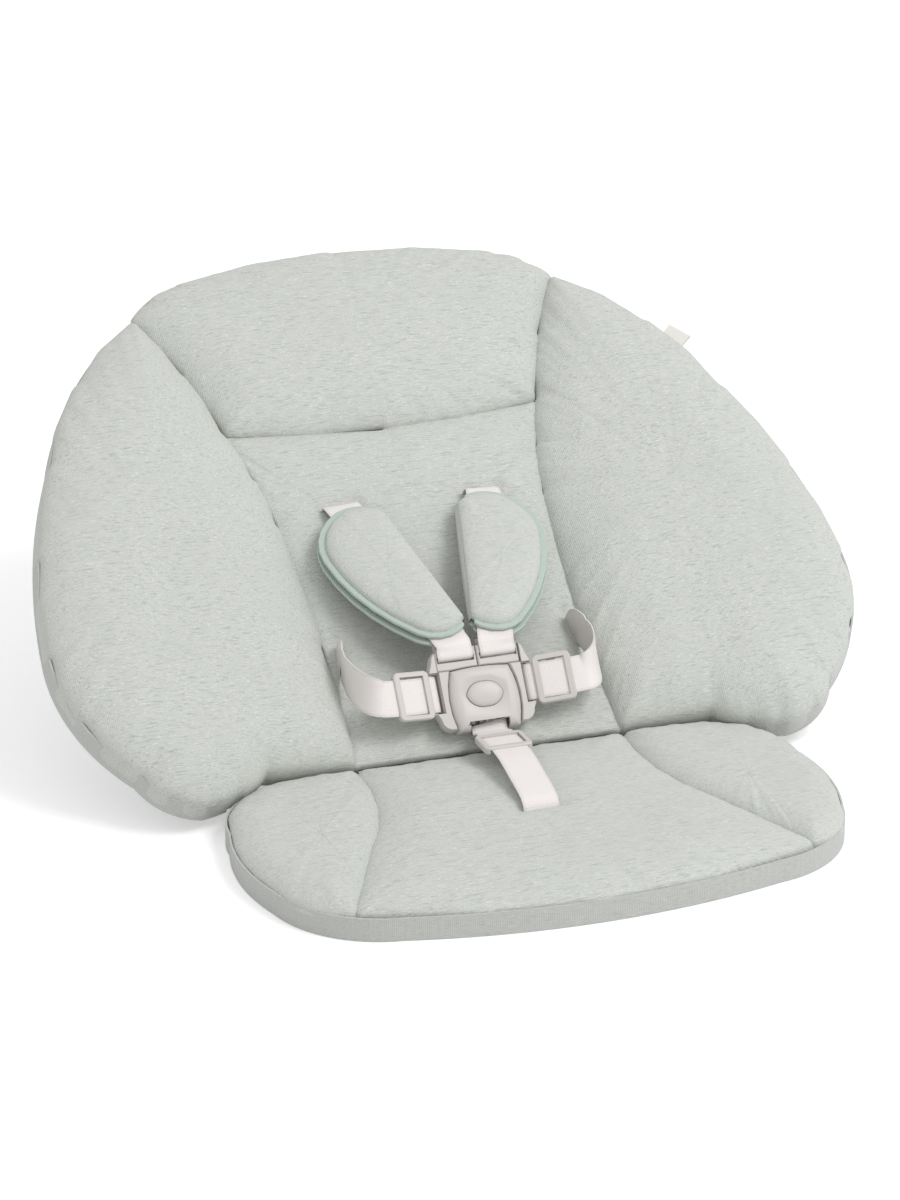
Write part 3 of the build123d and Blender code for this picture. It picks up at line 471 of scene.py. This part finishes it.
def webbing(node, route, widths, body, mirror=False):
    points, across = smooth_route(route, widths)
    steps, half, thick = 12, WEB_WIDTH / 2, WEB_THICK / 2
    section = [(-half + WEB_WIDTH * i / steps, thick) for i in range(steps + 1)]
    section += [(half - WEB_WIDTH * i / steps, -thick) for i in range(steps + 1)]
    verts, uvs, run = [], [], 0.0
    for i, point in enumerate(points):
        along = (points[min(i + 1, len(points) - 1)] - points[max(i - 1, 0)]).normalized()
        wide = (across[i] - along * along.dot(across[i])).normalized()
        deep = along.cross(wide)
        run += (point - points[i - 1]).length if i else 0.0
        for x, z in section:
            edge = 0.7 if abs(x) > half - 0.1 else 1.0
            verts.append(point + wide * x + deep * (z * edge))
            uvs.append((x / WEB_WIDTH + 0.5, run / WEB_WIDTH))
    n = len(section)
    faces = [
        (r * n + i, r * n + (i + 1) % n, (r + 1) * n + (i + 1) % n, (r + 1) * n + i)
        for r in range(len(points) - 1) for i in range(n)
    ]
    faces += [tuple(range(n))[::-1], tuple(range((len(points) - 1) * n, len(points) * n))]
    return build(f"{node}_woven", verts, faces, body, "webbing", [node], mirror=mirror, uvs=uvs)


def loop_in_slot(apart=SLOT_SIDE, bend=2.25, depth=7.2):
    """Down through a slot, round the anchor bar behind it and up again: (along, height) pairs."""
    turns = [math.radians(160 + 220 * i / 7) for i in range(8)]
    round_bar = [(bend * math.cos(t), -depth + bend * math.sin(t)) for t in turns]
    return [(-apart, 2.0), (-apart, -4.6)] + round_bar + [(apart, -4.6), (apart, 1.0)]


pad_low = on_buckle(TONGUE_MIDDLE, 33.0, 5.0)
pad_high = on_back(SHOULDER_X - 0.3, SHOULDER_S - 8.0, 15.0)
pad_along = (pad_high - pad_low).normalized()
pad_across = pad_along.cross(BACK.to_3x3() @ Vector((0, 0, 1))).normalized()
SIDE = Vector((1, 0, 0))


def shoulder_route():
    route = [on_back(SHOULDER_X, SHOULDER_S + a, h) for a, h in reversed(loop_in_slot())]
    route.append(on_back(SHOULDER_X, SHOULDER_S - 2, 9.5))
    widths = [SIDE] * len(route) + [pad_across, pad_across]
    route += [pad_high, pad_low]
    loop = (
        (28.6, 4.5), (25.0, 4.4), (23.0, 3.6), (22.3, 1.5), (22.3, -0.5),
        (23.0, -2.4), (25.0, -3.3), (30.6, -3.3), (35.6, -2.6),
    )
    route += [on_buckle(TONGUE_MIDDLE, y, z) for y, z in loop]
    return route, widths + [SIDE] * len(loop)


def slide_line():
    outward = BUCKLE.to_3x3() @ Vector((math.cos(math.radians(12)), 0, math.sin(math.radians(12))))
    return on_buckle(36.5, 0, 3.3), outward


def waist_route():
    cosine, sine = math.cos(WAIST_SLANT), math.sin(WAIST_SLANT)
    slot_line = BACK.to_3x3() @ Vector((-sine, cosine, 0))
    up = BUCKLE.to_3x3() @ Vector((0, 1, 0))
    route = [on_back(WAIST_X - a * cosine, WAIST_S - a * sine, h) for a, h in reversed(loop_in_slot())]
    route.append(on_back(WAIST_X + SLOT_SIDE * cosine, WAIST_S + SLOT_SIDE * sine, 8.0))
    route.append(on_back(WAIST_X + 2, WAIST_S - 2, 15.0))
    widths = [slot_line] * len(route)
    start, outward = slide_line()
    outer = start + outward * 36.5
    reach = WAIST_X - outer.x
    for x, y, z in ((3.5, 46, 7), (4.5, 32, 5.5), (2.0, 16, 3.5), (-4.0, 4.5, 1.8)):
        route.append(outer + Vector((reach + x, y, z)))
    widths += [Vector(w) for w in ((-0.1, 0.72, 0.69), (0, 0.58, 0.81), (0, 0.5, 0.87), (0, 0.5, 0.87))]
    route += [outer, start]
    loop = ((33.6, 2.5), (32.2, 1.3), (31.8, -0.6), (32.2, -2.6), (33.8, -4.0), (36.0, -4.3), (44.0, -4.0))
    route += [on_buckle(x, 0, z) for x, z in loop]
    return route, widths + [up] * (2 + len(loop))


def crotch_route():
    route = [Vector((0, CROTCH_Y + a, h + 11.5)) for a, h in reversed(loop_in_slot())]
    route += [Vector((0, y, z)) for y, z in ((-108.6, 22), (-106.5, 28), (-100, 31.5), (-79, 35.5))]
    direction = Vector((0, -1, 0.07)).normalized()
    start = Vector((0, -8.5, 36.5))
    route += [start + direction * 43.0, start]
    turns = [math.radians(90 - 30 * i) for i in range(7)]
    tail = [(-31.5, 2.2), (-26.5, 1.0), (-23.0, 0.6)]
    tail += [(-20.0 + 2.25 * math.cos(t), -1.8 + 2.25 * math.sin(t)) for t in turns] + [(-23.5, -4.1)]
    route += [on_buckle(0, y, z) for y, z in tail]
    return route, [SIDE] * len(route)


webbing("shoulder_strap_right", *shoulder_route(), "back")
webbing("shoulder_strap_left", *shoulder_route(), "back", True)
webbing("waist_strap_right", *waist_route(), "back")
webbing("waist_strap_left", *waist_route(), "back", True)
webbing("crotch_strap", *crotch_route(), "seat")


# Shoulder pads
# Each is one padded piece folded on its inner edge round the strap, a front and a rear lobe, bound outside.
# Pad and binding are plumper than the CAD ones: stretched by PLUMP from the lower end of the fold.
PAD_FRAME = placed(pad_low, pad_across, pad_across.cross(pad_along))
PAD_EDGE, CHANNEL = -17.0, 1.2
fold_corner = PAD_FRAME @ Matrix.Translation((PAD_EDGE, 6.2, 0))
PLUMP = fold_corner @ Matrix.Diagonal((1.14, 1.06, 1.12, 1)) @ fold_corner.inverted()
pad_outline = (
    (PAD_EDGE, 12.0), (PAD_EDGE - 1.6, 68.0), (PAD_EDGE - 3.2, 124.0), (-12.0, 133.0), (6.0, 136.0),
    (24.0, 123.0), (33.0, 100.0), (29.6, 56.6), (14.0, 16.0), (-0.5, 6.2),
)


def arc_through(a, m, b, count):
    """Points on the arc from a through m to b, short of b."""
    a, m, b = (Vector(p) for p in (a, m, b))
    bow = (m - a).x * (b - a).y - (m - a).y * (b - a).x
    if abs(bow) < 1e-3 * (b - a).length_squared:
        return [a.lerp(b, k / count) for k in range(count)]
    d = 2 * (a.x * (m.y - b.y) + m.x * (b.y - a.y) + b.x * (a.y - m.y))
    squares = [p.length_squared for p in (a, m, b)]
    centre = Vector((
        (squares[0] * (m.y - b.y) + squares[1] * (b.y - a.y) + squares[2] * (a.y - m.y)) / d,
        (squares[0] * (b.x - m.x) + squares[1] * (a.x - b.x) + squares[2] * (m.x - a.x)) / d,
    ))
    start, through, end = ((p - centre) for p in (a, m, b))
    first = math.atan2(start.y, start.x)
    turn = (math.atan2(end.y, end.x) - first) % (2 * math.pi)
    middle = (math.atan2(through.y, through.x) - first) % (2 * math.pi)
    turn = turn if middle < turn else turn - 2 * math.pi
    angles = [first + turn * k / count for k in range(count)]
    return [centre + Vector((math.cos(t), math.sin(t))) * start.length for t in angles]


def lobe(points, rim, top, seed):
    shape = []
    for i in range(0, len(points), 2):
        shape += arc_through(points[i], points[i + 1], points[(i + 2) % len(points)], 26)
    outline = np.array([(p.x, p.y) for p in shape])
    fold = np.array([PAD_EDGE - 1.0, 70.0])
    reach = np.abs(outline - fold).max(axis=0)
    outline = fold + (outline - fold) * (1 - 3.4 / reach)
    gaps = np.linalg.norm(np.diff(outline, axis=0, prepend=outline[-1:]), axis=1)
    return cushion(outline, np.cumsum(gaps), CHANNEL, rim, top, 17, seed, depth=0.5, soften=0.5, rings=26)


def shoulder_pad(side, seed):
    points, faces = lobe(pad_outline, CHANNEL + 2.4, CHANNEL + 9.0, seed)
    rear_outline = [(x + 1.2 * (x > -16), y - 1.2) for x, y in pad_outline]
    rear_points, rear_faces = lobe(rear_outline, CHANNEL + 2.0, CHANNEL + 5.85, seed + 1)
    start = len(points)
    points += [(x, y, -z) for x, y, z in rear_points]
    faces += [tuple(start + i for i in face[::-1]) for face in rear_faces]
    # The folded edge itself: a soft roll along the strap.
    roll, around, steps = len(points), 18, 23
    turns = [math.radians(360 / around * i) for i in range(around)]
    for k in range(steps + 1):
        y = 14 + 108 * k / steps
        swell = 0.55 + 0.45 * math.sin(math.pi * k / steps) ** 0.4
        x = PAD_EDGE + 0.6 - 3.2 * k / steps + 0.2
        points += [(x + 2.2 * swell * math.cos(t), y, 4.2 * swell * math.sin(t)) for t in turns]
    for k in range(steps):
        low, high = roll + around * k, roll + around * (k + 1)
        for i in range(around):
            j = (i + 1) % around
            faces.append((low + i, low + j, high + j, high + i))
    world = [PLUMP @ PAD_FRAME @ Vector(p) for p in points]
    node = f"shoulder_pad_{side}"
    obj = build(f"{node}_cloth", world, faces, body_of[node], "pad_knit", [node], mirror=side == "left")
    metres = Matrix.Scale(MM, 4) @ PLUMP @ Matrix.Scale(1 / MM, 4)
    flip = Matrix.Diagonal((-1 if side == "left" else 1, 1, 1, 1))
    finished(f"shoulder_binding_{side}", 0.7, flip @ metres @ flip)


shoulder_pad("right", 21)
shoulder_pad("left", 31)

# Floor and light
# Pale plain floor that the camera sees as white, soft light from all round and a large lamp up to the right.
paint = Paint("floor", 0.9)
paint.shader.inputs["Base Color"].default_value = (0.88, 0.88, 0.88, 1)
glow = paint.tree.nodes.new("ShaderNodeEmission")
glow.inputs["Strength"].default_value = 0.30
total = paint.tree.nodes.new("ShaderNodeAddShader")
rays = paint.tree.nodes.new("ShaderNodeLightPath")
seen = paint.tree.nodes.new("ShaderNodeMixShader")
link = paint.tree.links.new
link(paint.shader.outputs[0], total.inputs[0])
link(glow.outputs[0], total.inputs[1])
link(rays.outputs["Is Camera Ray"], seen.inputs[0])
link(paint.shader.outputs[0], seen.inputs[1])
link(total.outputs[0], seen.inputs[2])
link(seen.outputs[0], paint.tree.nodes["Material Output"].inputs[0])
plane = bpy.data.meshes.new("floor")
FLOOR_HALF, FLOOR_LEVEL = 15.0, -0.0004
plane.from_pydata(
    [(x * FLOOR_HALF, y * FLOOR_HALF, FLOOR_LEVEL) for x, y in ((-1, -1), (1, -1), (1, 1), (-1, 1))],
    [], [(0, 1, 2, 3)],
)
plane.materials.append(paint.material)
floor = bpy.data.objects.new("floor", plane)
scene.collection.objects.link(floor)

world = bpy.data.worlds.new("studio")
world.use_nodes = True
world.node_tree.nodes["Background"].inputs["Color"].default_value = (1, 1, 1, 1)
world.node_tree.nodes["Background"].inputs["Strength"].default_value = 0.78
scene.world = world


def lamp(name, place, size, power):
    light = bpy.data.lights.new(name, "AREA")
    light.size, light.energy = size, power
    obj = bpy.data.objects.new(name, light)
    obj.location = place
    obj.rotation_euler = (-Vector(place)).to_track_quat("-Z", "Y").to_euler()
    scene.collection.objects.link(obj)
    return obj


key = lamp("key", (1.5, -1.3, 2.6), 1.4, 48)
